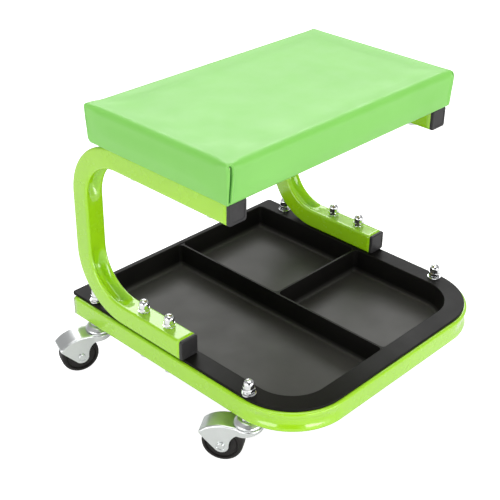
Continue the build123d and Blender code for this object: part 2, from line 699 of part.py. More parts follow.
with BuildPart() as caster_axle:
    with BuildSketch(AXLE_PLANE):
        Circle(AXLE_RADIUS)
    extrude(amount=CHEEK, both=True)
    for cheek_side in (-1, 1):
        with BuildSketch(AXLE_PLANE.offset(cheek_side * (CHEEK - AXLE_DIMPLE))):
            Circle(AXLE_HEAD_RADIUS)
        extrude(amount=cheek_side * (AXLE_DIMPLE + AXLE_HEAD))
    fillet(caster_axle.faces().sort_by(Axis.Y)[0].edges(), radius=1.3)
    fillet(caster_axle.faces().sort_by(Axis.Y)[-1].edges(), radius=1.3)

with BuildPart() as caster_bush:
    with BuildSketch(AXLE_PLANE):
        Circle(BUSH_RADIUS)
        Circle(AXLE_RADIUS + RUNNING_GAP, mode=Mode.SUBTRACT)
    extrude(amount=FORK_GAP / 2 - RUNNING_GAP, both=True)

with BuildPart() as caster_wheel:
    half = WHEEL_WIDTH / 2
    hub = HUB_WIDTH / 2
    with BuildSketch(Plane.XY):
        # Half section: radius along X, across the wheel along Y
        with BuildLine():
            wheel_bore = BUSH_RADIUS + RUNNING_GAP
            Polyline((wheel_bore, -hub), (8.0, -hub), (9.0, -half + 1.2), (17.0, -half + 1.2),
                     (17.6, -half + 2.0), (18.8, -half + 2.0), (19.4, -half + 0.2), (20.6, -half))
            Spline((20.6, -half), (WHEEL_RADIUS, -half + 6.0), tangents=((1, 0.15), (0, 1)))
            Line((WHEEL_RADIUS, -half + 6.0), (WHEEL_RADIUS, half - 6.0))
            Spline((WHEEL_RADIUS, half - 6.0), (20.6, half), tangents=((0, 1), (-1, 0.15)))
            Polyline((20.6, half), (19.4, half - 0.2), (18.8, half - 2.0), (17.6, half - 2.0),
                     (17.0, half - 1.2), (9.0, half - 1.2), (8.0, hub), (wheel_bore, hub),
                     (wheel_bore, -hub))
        make_face()
    revolve(axis=Axis.Y)

CASTER_PIECES = {
    "stem": caster_stem.part,
    "cup": caster_cup.part,
    "balls": caster_balls.part,
    "fork": caster_fork.part,
    "retainer": caster_retainer.part,
    "axle": caster_axle.part,
    "bush": caster_bush.part,
    "wheel": caster_wheel.part.moved(Location((TRAIL, 0, WHEEL_RADIUS))),
}
for corner, (side, caster_y, heading) in CASTERS.items():
    place = Location((side * TUBE_X, caster_y, 0), (0, 0, heading))
    for piece_name, piece in CASTER_PIECES.items():
        save(piece.moved(place), f"{corner}_caster_{piece_name}")
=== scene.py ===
"""Looks for a mechanic's creeper seat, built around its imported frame.

Metres, +Z up, the front is -Y and the width runs along X. Lengths below are written
as millimetres times MM.
"""

import json
import math

import bmesh
import bpy
import numpy as np
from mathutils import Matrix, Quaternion, Vector
from mathutils.bvhtree import BVHTree

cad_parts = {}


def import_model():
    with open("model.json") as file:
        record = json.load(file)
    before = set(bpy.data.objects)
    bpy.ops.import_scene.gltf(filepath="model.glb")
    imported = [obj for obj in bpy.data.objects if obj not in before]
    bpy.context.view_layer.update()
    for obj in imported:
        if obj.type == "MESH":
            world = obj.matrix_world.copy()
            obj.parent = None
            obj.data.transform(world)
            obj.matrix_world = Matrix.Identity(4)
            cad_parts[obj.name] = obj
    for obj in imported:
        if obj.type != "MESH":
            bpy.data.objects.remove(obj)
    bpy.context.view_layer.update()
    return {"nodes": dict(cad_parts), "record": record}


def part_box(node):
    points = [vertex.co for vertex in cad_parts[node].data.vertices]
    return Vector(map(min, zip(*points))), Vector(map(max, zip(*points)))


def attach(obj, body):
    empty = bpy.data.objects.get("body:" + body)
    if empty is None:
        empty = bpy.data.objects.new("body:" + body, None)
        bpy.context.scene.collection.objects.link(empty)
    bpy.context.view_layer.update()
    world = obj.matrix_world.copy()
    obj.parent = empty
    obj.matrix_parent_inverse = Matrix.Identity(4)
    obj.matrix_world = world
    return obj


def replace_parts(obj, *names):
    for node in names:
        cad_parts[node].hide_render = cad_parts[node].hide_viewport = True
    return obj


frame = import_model()

MM = 0.001
SIDES = ("left", "right")
ROOT = "chassis"
scene = bpy.context.scene


# ------------------------------------------------------------------ small helpers
def smoothstep(low, high, value):
    """0 at low, 1 at high, with a smooth change between; low may be the larger."""
    t = np.clip((np.asarray(value, float) - low) / (high - low), 0, 1)
    return t * t * (3 - 2 * t)


def bump_at(value, centre, width):
    """Bell curve of height 1."""
    return np.exp(-(((np.asarray(value, float) - centre) / width) ** 2))


def falloff(share):
    """1 at 0, 0 from 1 on, level at both ends."""
    return 0.5 + 0.5 * math.cos(math.pi * min(max(share, 0), 1))


def new_object(name, points, faces, material):
    """A smooth-shaded mesh object from points and faces, linked to the scene."""
    mesh = bpy.data.meshes.new(name)
    mesh.from_pydata([tuple(p) for p in points], [], [tuple(int(i) for i in f) for f in faces])
    mesh.validate()
    mesh.polygons.foreach_set("use_smooth", [True] * len(mesh.polygons))
    mesh.materials.append(material)
    obj = bpy.data.objects.new(name, mesh)
    scene.collection.objects.link(obj)
    return obj


def face_outwards(obj, close=False):
    """Makes a closed mesh's faces point out, after filling its open edges if asked."""
    work = bmesh.new()
    work.from_mesh(obj.data)
    if close:
        bmesh.ops.holes_fill(work, edges=[e for e in work.edges if e.is_boundary])
    bmesh.ops.recalc_face_normals(work, faces=work.faces)
    work.to_mesh(obj.data)
    work.free()


def apply_modifiers(obj):
    """Bakes an object's modifiers into its mesh."""
    graph = bpy.context.evaluated_depsgraph_get()
    baked = bpy.data.meshes.new_from_object(obj.evaluated_get(graph))
    obj.modifiers.clear()
    obj.data = baked


def loop_band(ring_a, ring_b, count):
    """Quads between two closed loops of count points that start at the given indices."""
    return [
        (ring_a + i, ring_a + (i + 1) % count, ring_b + (i + 1) % count, ring_b + i)
        for i in range(count)
    ]


# ------------------------------------------------------------------ materials
NOISE_LOW, NOISE_HIGH = 0.3, 0.7  # most of a noise texture lies between these
# Where the painted edge highlights begin and are full
EDGE_STARTS, EDGE_FULL = 0.98, 0.88  # cosine of how far the rounded normal has turned
# Where the painted crease shade begins and is full
OPEN_AIR, IN_CREASE = 0.78, 0.42  # share of the surroundings that a point sees


class Shader:
    """A small wrapper that builds one principled material node by node."""

    def __init__(self, name):
        self.material = bpy.data.materials.new(name)
        self.material.use_nodes = True
        self.tree = self.material.node_tree
        self.principled = self.tree.nodes["Principled BSDF"]
        self.coords = self.node("ShaderNodeTexCoord").outputs["Object"]

    def node(self, kind, **settings):
        """Adds a node and sets its properties."""
        made = self.tree.nodes.new(kind)
        for key, value in settings.items():
            setattr(made, key, value)
        return made

    def link(self, output, socket):
        """Connects an output to an input."""
        self.tree.links.new(output, socket)

    def set(self, **values):
        """Sets the principled shader's inputs, named with _ for each space."""
        for key, value in values.items():
            self.principled.inputs[key.replace("_", " ")].default_value = value

    def noise(self, scale, detail=4.0, roughness=0.5, stretch=None):
        """Noise value, optionally stretched along the object's axes."""
        texture = self.node("ShaderNodeTexNoise")
        texture.inputs["Scale"].default_value = scale
        texture.inputs["Detail"].default_value = detail
        texture.inputs["Roughness"].default_value = roughness
        source = self.coords
        if stretch:
            mapping = self.node("ShaderNodeMapping")
            mapping.inputs["Scale"].default_value = stretch
            self.link(source, mapping.inputs["Vector"])
            source = mapping.outputs["Vector"]
        self.link(source, texture.inputs["Vector"])
        return texture.outputs["Fac"]

    def cells(self, scale):
        """Distance to the nearest cell centre of a Voronoi pattern."""
        texture = self.node("ShaderNodeTexVoronoi")
        texture.inputs["Scale"].default_value = scale
        self.link(self.coords, texture.inputs["Vector"])
        return texture.outputs["Distance"]

    def ramp(self, value, low, low_colour, high, high_colour):
        """Colour that goes from one to the other as the value goes from low to high."""
        ramp = self.node("ShaderNodeValToRGB")
        first, last = ramp.color_ramp.elements
        first.position = low
        first.color = (*low_colour, 1)
        last.position = high
        last.color = (*high_colour, 1)
        self.link(value, ramp.inputs["Fac"])
        return ramp.outputs["Color"]

    def span(self, value, low, high, out_low, out_high):
        """Maps a value from one range to another."""
        mapped = self.node("ShaderNodeMapRange")
        mapped.inputs["From Min"].default_value = low
        mapped.inputs["From Max"].default_value = high
        mapped.inputs["To Min"].default_value = out_low
        mapped.inputs["To Max"].default_value = out_high
        self.link(value, mapped.inputs["Value"])
        return mapped.outputs["Result"]

    def mix(self, factor, first, second):
        """Blend of two colours, each a socket or a colour."""
        mixed = self.node("ShaderNodeMix", data_type="RGBA")
        self.link(factor, mixed.inputs["Factor"])
        for value, socket in ((first, mixed.inputs["A"]), (second, mixed.inputs["B"])):
            if isinstance(value, tuple):
                socket.default_value = (*value, 1)
            else:
                self.link(value, socket)
        return mixed.outputs["Result"]

    def painted_edge_highlight(self, body, edge, radius, amount):
        """Painted highlight: body colour, mixed with the edge colour where a rounded normal would turn.
        """
        bevel = self.node("ShaderNodeBevel", samples=8)
        bevel.inputs["Radius"].default_value = radius
        geometry = self.node("ShaderNodeNewGeometry")
        dot = self.node("ShaderNodeVectorMath", operation="DOT_PRODUCT")
        self.link(bevel.outputs["Normal"], dot.inputs[0])
        self.link(geometry.outputs["Normal"], dot.inputs[1])
        return self.mix(self.span(dot.outputs["Value"], EDGE_STARTS, EDGE_FULL, 0.0, amount), body, edge)

    def painted_crease_shade(self, body, shade_colour, reach):
        """Painted shade: body colour, mixed with the shade colour in folds and where other parts come
        close.
        """
        occlusion = self.node("ShaderNodeAmbientOcclusion", samples=8)
        occlusion.inputs["Distance"].default_value = reach
        return self.mix(self.span(occlusion.outputs["AO"], OPEN_AIR, IN_CREASE, 0.0, 1.0), body, shade_colour)

    def colour(self, output):
        """Sets the base colour from an output."""
        self.link(output, self.principled.inputs["Base Color"])

    def patchy_roughness(self, noise, smooth, rough):
        """Lets the roughness follow a noise between two values."""
        patches = self.span(noise, NOISE_LOW, NOISE_HIGH, smooth, rough)
        self.link(patches, self.principled.inputs["Roughness"])

    def bumps(self, *layers):
        """Stacks bump layers: each is (height output, strength, distance in metres)."""
        normal = None
        for height, strength, distance in layers:
            bump = self.node("ShaderNodeBump")
            bump.inputs["Strength"].default_value = strength
            bump.inputs["Distance"].default_value = distance
            self.link(height, bump.inputs["Height"])
            if normal is not None:
                self.link(normal, bump.inputs["Normal"])
            normal = bump.outputs["Normal"]
        self.link(normal, self.principled.inputs["Normal"])


def green_paint():
    """Glossy lime powder coat: orange peel, faint cloudiness and painted highlights along the edges."""
    s = Shader("green_paint")
    s.set(IOR=1.5, Coat_Weight=1.0, Coat_Roughness=0.05, Coat_IOR=1.5)
    cloud = s.noise(9.0, 3.0)
    body = s.ramp(cloud, 0.3, (0.348, 0.710, 0.004), 0.7, (0.380, 0.750, 0.006))
    # Painted highlight: a paler green along the rounded edges
    s.colour(s.painted_edge_highlight(body, (0.52, 0.84, 0.12), 1.0 * MM, 0.25))
    s.patchy_roughness(s.noise(60.0, 2.0), 0.20, 0.30)
    orange_peel = s.noise(260.0, 1.0)
    waves = s.noise(70.0, 1.0)
    s.bumps((orange_peel, 0.014, 0.15 * MM), (waves, 0.014, 0.25 * MM))
    return s.material


def green_vinyl():
    """Smooth satin vinyl: a fine leather grain, faint stretch marks, and painted shade in creases and
    against other parts.
    """
    s = Shader("green_vinyl")
    s.set(IOR=1.5, Specular_IOR_Level=0.85, Sheen_Weight=0.10, Sheen_Roughness=0.5)
    cloud = s.noise(12.0, 4.0)
    body = s.ramp(cloud, 0.3, (0.205, 0.610, 0.082), 0.72, (0.228, 0.650, 0.098))
    # Painted shade: a darker green in creases, in the corner folds and where the cover meets other parts
    s.colour(s.painted_crease_shade(body, (0.025, 0.230, 0.014), 5.0 * MM))
    s.patchy_roughness(s.noise(30.0, 3.0), 0.38, 0.50)
    stretch_marks = s.noise(35.0, 3.0)
    grain = s.cells(900.0)
    pores = s.noise(1500.0, 2.0)
    s.bumps((stretch_marks, 0.10, 0.8 * MM), (grain, 0.14, 0.12 * MM), (pores, 0.10, 0.06 * MM))
    return s.material


def vinyl_backing():
    """Knitted cloth backing on the hidden side of the vinyl."""
    s = Shader("vinyl_backing")
    bands = s.node("ShaderNodeTexWave", wave_type="BANDS", bands_direction="DIAGONAL")
    bands.inputs["Scale"].default_value = 500.0
    s.link(s.coords, bands.inputs["Vector"])
    weave = bands.outputs["Fac"]
    s.colour(s.ramp(weave, 0.2, (0.30, 0.42, 0.26), 0.8, (0.45, 0.56, 0.38)))
    s.set(Roughness=0.95)
    s.bumps((weave, 0.4, 0.2 * MM))
    return s.material


def tray_plastic():
    """Black moulded tray: satin flange and walls, floors painted lighter as a painted sheen, and painted
    rim highlights.
    """
    s = Shader("tray_plastic")
    s.set(IOR=1.46)
    scuffs = s.noise(14.0, 6.0, 0.6)
    body = s.ramp(scuffs, 0.35, (0.0060, 0.0055, 0.0050), 0.75, (0.0090, 0.0083, 0.0075))
    # Painted sheen: the floors get a lighter grey than the flange and walls, in patches that vary at
    # random
    floor_patches = s.noise(9.0, 7.0, 0.65)
    floor = s.ramp(floor_patches, 0.3, (0.050, 0.048, 0.045), 0.75, (0.068, 0.066, 0.061))
    place = s.node("ShaderNodeSeparateXYZ")
    s.link(s.coords, place.inputs["Vector"])
    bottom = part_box("tool_tray")[0].z
    on_floor = s.span(place.outputs["Z"], bottom + 10.1 * MM, bottom + 2.9 * MM, 0.0, 1.0)
    # Painted highlight: a lighter grey along the rounded rim edges
    s.colour(s.painted_edge_highlight(s.mix(on_floor, body, floor), (0.048, 0.046, 0.042), 0.9 * MM, 0.7))
    s.patchy_roughness(s.noise(22.0, 5.0), 0.36, 0.46)
    s.link(s.span(on_floor, 0, 1, 0.16, 0.30), s.principled.inputs["Specular IOR Level"])
    spark_grain = s.noise(1100.0, 2.0)
    warp = s.noise(18.0, 2.0)
    s.bumps((spark_grain, 0.20, 0.10 * MM), (warp, 0.05, 0.5 * MM))
    return s.material


def cap_plastic():
    """Charcoal push-in caps: fine spark texture and thin painted highlights along the edges."""
    s = Shader("cap_plastic")
    s.set(IOR=1.48, Specular_IOR_Level=0.45)
    scuffs = s.noise(40.0, 6.0, 0.6)
    body = s.ramp(scuffs, 0.35, (0.020, 0.019, 0.020), 0.75, (0.034, 0.033, 0.034))
    # Painted highlight: a lighter grey along the rounded edges
    s.colour(s.painted_edge_highlight(body, (0.10, 0.10, 0.10), 0.4 * MM, 0.35))
    s.patchy_roughness(s.noise(60.0, 5.0), 0.40, 0.52)
    s.bumps((s.noise(800.0, 2.0), 0.25, 0.10 * MM))
    return s.material


def plated_steel(name, base, smooth, rough, brushed=1.0, tint=(1.0, 1.0, 1.0)):
    """Plated steel: faint mottling and soft rolling marks, stretched where brushed is below 1."""
    s = Shader(name)
    s.set(Metallic=1.0, Specular_Tint=(*tint, 1))
    mottle = s.noise(70.0, 5.0, 0.65)
    s.colour(s.ramp(mottle, 0.3, tuple(c * 0.95 for c in base), 0.7, base))
    s.patchy_roughness(s.noise(160.0, 4.0, 0.6, stretch=(1.0, 1.0, brushed)), smooth, rough)
    return s.material


def plywood():
    """Bare plywood: long grain along X with darker pores."""
    s = Shader("plywood")
    grain = s.noise(60.0, 8.0, 0.65, stretch=(0.06, 1.0, 1.0))
    pores = s.ramp(grain, 0.30, (0.30, 0.17, 0.075), 0.5, (0.50, 0.32, 0.16))
    s.colour(s.mix(s.span(grain, 0.5, 0.75, 0.0, 1.0), pores, (0.62, 0.43, 0.24)))
    s.patchy_roughness(grain, 0.62, 0.8)
    s.bumps((grain, 0.35, 0.2 * MM))
    return s.material


def foam():
    """Open-cell cushion foam."""
    s = Shader("foam")
    cells = s.cells(700.0)
    s.colour(s.ramp(cells, 0.1, (0.55, 0.47, 0.28), 0.6, (0.80, 0.74, 0.52)))
    s.set(Roughness=0.95)
    s.bumps((cells, 0.7, 0.6 * MM))
    return s.material


def wheel_rubber():
    """Hard black wheel: satin rubber with a fine grain and patches of dust."""
    s = Shader("wheel_rubber")
    s.set(Specular_IOR_Level=0.28)
    dust = s.noise(55.0, 6.0, 0.7)
    s.colour(s.ramp(dust, 0.35, (0.008, 0.007, 0.007), 0.72, (0.020, 0.017, 0.016)))
    s.patchy_roughness(s.noise(30.0, 4.0), 0.36, 0.55)
    s.bumps((s.noise(650.0, 3.0), 0.20, 0.12 * MM))
    return s.material


MATERIALS = {
    "green_paint": green_paint(),
    "green_vinyl": green_vinyl(),
    "foam": foam(),
    "plywood": plywood(),
    "tray_plastic": tray_plastic(),
    "cap_plastic": cap_plastic(),
    "zinc_plate": plated_steel("zinc_plate", (0.78, 0.80, 0.80), 0.29, 0.32, 0.15, (0.95, 1.0, 1.0)),
    "bright_nuts": plated_steel("bright_nuts", (0.90, 0.91, 0.92), 0.07, 0.15),
    "ball_steel": plated_steel("ball_steel", (0.72, 0.73, 0.74), 0.08, 0.15),
    "wheel_rubber": wheel_rubber(),
}
BACKING = vinyl_backing()

for part in frame["record"]["subparts"]:
    node = frame["nodes"][part["node"]]
    node.data.materials.clear()
    node.data.materials.append(MATERIALS[part["material_slot"]])


# ------------------------------------------------------------------ bent square tubes
ARM_INSIDE, ARM_OUTSIDE = (corner.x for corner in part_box("side_frame_right"))
TUBE_HALF = (ARM_OUTSIDE - ARM_INSIDE) / 2
TUBE_WALL = 1.5 * MM
TUBE_CORNER = 3.0 * MM
BEND_RADIUS = 65.0 * MM
CAP_PLUG = 12.0 * MM  # length of a leg cap that is inside the tube

# The inner wall of a bend is pressed in: a groove with a raised rim along each side and a
# shallow ripple along it. Places across it are shares of TUBE_HALF from its middle.
GROOVE_DEPTH = 8.0 * MM
GROOVE_FLAT, GROOVE_EDGE = 0.12, 0.80
GROOVE_RAMPS = (10.0 * MM, 26.0 * MM)  # run-out beyond a bend's end, and run-in from it
RIM_HEIGHT = 0.5 * MM
RIM_PLACE, RIM_WIDTH = 0.86, 0.16
RIPPLE_HEIGHT = 0.9 * MM
RIPPLE_TURN = 3.4 * math.pi
RIPPLE_START = 0.9
INNER_WALL = (0.55, 0.86)  # over these shares of TUBE_HALF a point comes to be on the wall

# The outer wall sinks in the middle, and the side walls swell
OUTER_SINK = 3.3 * MM
OUTER_EDGE = 0.88
OUTER_WALL = (0.70, 0.90)
SIDE_SWELL = 0.5 * MM
SWELL_RAMPS = (6.0 * MM, 22.0 * MM)

STRAIGHT_STEP = 5.0 * MM
BEND_STEPS = 56
CORNER_STEPS = 6
FLAT_STEPS = {"inner": 24, "outer": 10, "side": 10}


def straight_stations(start, end, travelled):
    """Stations from start up to but not including end."""
    length = (end - start).length
    tangent = (end - start).normalized()
    count = max(2, int(length / STRAIGHT_STEP))
    shares = [k / count for k in range(count)]
    return [(start.lerp(end, share), tangent, travelled + length * share) for share in shares]


def bend_stations(centre, into, out, travelled):
    """Stations of a quarter turn that arrives along into and leaves along out."""
    stations = []
    for k in range(BEND_STEPS):
        angle = math.pi / 2 * k / BEND_STEPS
        tangent = into * math.cos(angle) + out * math.sin(angle)
        inward = out * math.cos(angle) - into * math.sin(angle)
        stations.append((centre - inward * BEND_RADIUS, tangent, travelled + BEND_RADIUS * angle))
    return stations


def tube_stations(corners):
    """Places along a path of straights and round bends that all turn the same way.

    Returns (place, tangent, arc length) for each station, and the arc lengths at which each
    bend starts and ends.
    """
    stations, bends = [], []
    travelled = 0.0
    here = corners[0]
    for before, corner, after in zip(corners, corners[1:], corners[2:]):
        into = (corner - before).normalized()
        out = (after - corner).normalized()
        bend_start = corner - into * BEND_RADIUS
        stations += straight_stations(here, bend_start, travelled)
        travelled += (bend_start - here).length
        stations += bend_stations(bend_start + out * BEND_RADIUS, into, out, travelled)
        bends.append((travelled, travelled + BEND_RADIUS * math.pi / 2))
        travelled = bends[-1][1]
        here = corner + out * BEND_RADIUS
    last = corners[-1]
    stations += straight_stations(here, last, travelled)
    stations.append((last, (last - here).normalized(), travelled + (last - here).length))
    return stations, bends


def tube_section(half, corner):
    """Rounded square, as (towards the inside of the bend, across) pairs, counter-clockwise."""
    points = []
    flat = half - corner
    sides = [
        ((half, -flat), (half, flat), FLAT_STEPS["inner"], 0),
        ((flat, half), (-flat, half), FLAT_STEPS["side"], 90),
        ((-half, flat), (-half, -flat), FLAT_STEPS["outer"], 180),
        ((-flat, -half), (flat, -half), FLAT_STEPS["side"], 270),
    ]
    for (a0, b0), (a1, b1), steps, angle in sides:
        for k in range(steps):
            points.append((a0 + (a1 - a0) * k / steps, b0 + (b1 - b0) * k / steps))
        turn = math.radians(angle)
        centre_a = a1 - corner * math.cos(turn)
        centre_b = b1 - corner * math.sin(turn)
        for k in range(CORNER_STEPS):
            phi = turn + math.pi / 2 * k / CORNER_STEPS
            points.append((centre_a + corner * math.cos(phi), centre_b + corner * math.sin(phi)))
    return points


def within_bend(travelled, start, end, ramps):
    """1 inside a bend and 0 away from it, with the given run-out and run-in at its ends."""
    run_out, run_in = ramps
    rise = smoothstep(start - run_out, start + run_in, travelled)
    fall = 1 - smoothstep(end - run_in, end + run_out, travelled)
    return float(rise * fall)


def crush_at(travelled, bends):
    """How strongly the tube is pressed in and swollen at one station, and its ripple's height."""
    press, swell, ripple = 0.0, 0.0, 0.0
    for start, end in bends:
        inside = within_bend(travelled, start, end, GROOVE_RAMPS)
        press += inside
        swell += within_bend(travelled, start, end, SWELL_RAMPS)
        share = (travelled - start) / (end - start)
        ripple += RIPPLE_HEIGHT * math.sin(share * RIPPLE_TURN + RIPPLE_START) * inside**2
    return press, swell, ripple


def crushed(a, b, crush, side_swell):
    """Where the point (a, b) of the section goes in a bend."""
    press, swell, ripple = crush
    w = abs(b) / TUBE_HALF
    on_inner = float(smoothstep(INNER_WALL[0] * TUBE_HALF, INNER_WALL[1] * TUBE_HALF, a))
    on_outer = float(smoothstep(OUTER_WALL[0] * TUBE_HALF, OUTER_WALL[1] * TUBE_HALF, -a))
    groove = falloff((w - GROOVE_FLAT) / (GROOVE_EDGE - GROOVE_FLAT))
    moved_a = a - on_inner * (press * GROOVE_DEPTH + ripple) * groove
    moved_a += on_outer * swell * OUTER_SINK * falloff(w / OUTER_EDGE)
    moved_a += on_inner * swell * RIM_HEIGHT * bump_at(w, RIM_PLACE, RIM_WIDTH)
    sideways = side_swell * swell * max(0, 1 - (a / TUBE_HALF) ** 2)
    return moved_a, b + math.copysign(sideways, b) * min(1, w)


def crushed_tube(name, corners, across, side_swell):
    """Square tube, hollow and open at both ends, that is crushed along every bend.

    across: the direction that stays square to all the bends.
    side_swell: how far the two side walls swell in a bend.
    """
    stations, bends = tube_stations([Vector(c) for c in corners])
    across = Vector(across)
    outer = tube_section(TUBE_HALF, TUBE_CORNER)
    inner = tube_section(TUBE_HALF - TUBE_WALL, TUBE_CORNER - TUBE_WALL)
    count = len(outer)
    points = []
    for place, tangent, travelled in stations:
        inward = across.cross(tangent)
        crush = crush_at(travelled, bends)
        for a, b in outer + inner:
            moved_a, moved_b = crushed(a, b, crush, side_swell)
            points.append(place + inward * moved_a + across * moved_b)
    # Each station has an outer loop, then an inner loop
    faces = []
    last = len(stations) - 1
    for k in range(last):
        outer_loop = 2 * k * count
        inner_loop = outer_loop + count
        faces += loop_band(outer_loop, outer_loop + 2 * count, count)
        faces += loop_band(inner_loop + 2 * count, inner_loop, count)
    faces += loop_band(count, 0, count)
    faces += loop_band(2 * last * count, (2 * last + 1) * count, count)
    tube = new_object(name, points, faces, MATERIALS["green_paint"])
    face_outwards(tube)
    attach(tube, ROOT)
    return tube


def side_frame(side):
    """C-shaped side frame, leg tip to arm tip."""
    node = f"side_frame_{side}"
    low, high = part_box(node)
    x = (low.x + high.x) / 2
    leg_z = low.z + TUBE_HALF
    arm_z = high.z - TUBE_HALF
    rear = high.y - TUBE_HALF
    leg_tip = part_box(f"leg_cap_{side}")[1].y - CAP_PLUG
    corners = [(x, leg_tip, leg_z), (x, rear, leg_z), (x, rear, arm_z), (x, low.y, arm_z)]
    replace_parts(crushed_tube(node + "_tube", corners, (1, 0, 0), SIDE_SWELL), node)


def base_frame():
    """U-shaped base, rear left end to rear right end; flat on top, where the tray lies."""
    low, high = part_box("base_frame")
    z = (low.z + high.z) / 2
    left, right = low.x + TUBE_HALF, high.x - TUBE_HALF
    front = low.y + TUBE_HALF
    corners = [(left, high.y, z), (left, front, z), (right, front, z), (right, high.y, z)]
    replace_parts(crushed_tube("base_frame_tube", corners, (0, 0, 1), 0.0), "base_frame")


for side_name in SIDES:
    side_frame(side_name)
base_frame()


# ------------------------------------------------------------------ seat
# The plain shape, before it is swollen and folded: a little larger than the CAD block, and
# in whole tenths of a millimetre, so that no rounding error reaches the simulation
SEAT_LOW, SEAT_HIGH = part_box("seat_cover")
SEAT_HALF_X = round((SEAT_HIGH.x - SEAT_LOW.x) / 2 + 3.15 * MM, 4)
SEAT_HALF_Y = round((SEAT_HIGH.y - SEAT_LOW.y) / 2 + 3.85 * MM, 4)
SEAT_CROWN = 0.9 * MM
SEAT_CORNER = 4.5 * MM  # upright corners, seen from above
SMALLEST_CORNER = 0.8 * MM
SEAT_TOP_ROUND = 9.0 * MM
SEAT_TOP_ROUND_AT_CORNER = {"left": 4.5 * MM, "right": 8.5 * MM}
SHARPER_FROM, SHARPER_FULL = 24.0 * MM, 8.0 * MM  # distance from the corner, along either side
SEAT_BOTTOM_ROUND = 4.0 * MM
SEAT_TAPER = 1.3 * MM
VINYL = 1.0 * MM
FOAM_INSET = 1.8 * MM
LIP = 36.0 * MM  # width of the vinyl that is turned in under the board

# The edge under the seat hangs a little outside the two arms
DROOP_START = ARM_OUTSIDE + 0.6 * MM
DROOP_FULL = DROOP_START + 3.0 * MM
SEAT_EDGE_DROOP = 1.2 * MM

# How finely the skin is divided: closely beside the corners, where the folds are
CORNER_POINTS = 17  # odd, so that one lies on the diagonal
FOLD_STEP = 0.45 * MM
FOLD_ZONE = 11.0 * MM
FOLD_ZONE_GAP = 2.5 * MM
SIDE_STEP = 5.0 * MM
LIP_STEPS, BOTTOM_STEPS, WALL_STEPS, TOP_STEPS = 9, 5, 16, 10

# The cloth simulation of the pad
BLOCK_INSET = 3.0 * MM
BLOCK_ROUND = 7.0 * MM
BLOCK_VOXEL = 5.0 * MM
STAPLED_HEIGHT = 9.0 * MM
PRESSURE = 4.0
TENSION, BENDING = 25, 4
LAST_FRAME = 20
LONGEST_MOVE = 7.0 * MM

# What the skin takes from the simulation, and the limits of its swell
SEARCH_REACH = 25.0 * MM
TOP_SHARE, SIDE_SHARE = 0.15, 0.30
SIDE_SWELL_LEVEL = 0.5 * MM
SWELL_LIMITS = (-1.2 * MM, 2.5 * MM)

# The folded corners: the long side's vinyl ends in a hem beside a deep fold line, and the
# short side's is tucked in under it. Places are from that line, + on the long side.
FOLD_LINE = {"front": 3.3 * MM, "rear": -1.3 * MM}  # from the corner's diagonal
FOLD_DEPTH, FOLD_HALF = 4.2 * MM, 1.25 * MM
FOLD_SQUARENESS = 2.6  # 2 is a bell curve, more is a slot
HEM_HEIGHT, HEM_PLACE, HEM_WIDTH = 1.3 * MM, 2.3 * MM, 1.5 * MM
TUCK_HEIGHT, TUCK_PLACE, TUCK_WIDTH = 0.3 * MM, -2.0 * MM, 1.6 * MM
PUCKER_HEIGHT, PUCKER_LENGTH, PUCKER_REACH = 0.18 * MM, 2.1 * MM, 9.0 * MM
STAPLE_STEP = 38.0 * MM
STAPLE_PULL = 0.45 * MM
SIDE_HOLLOW = 0.4 * MM


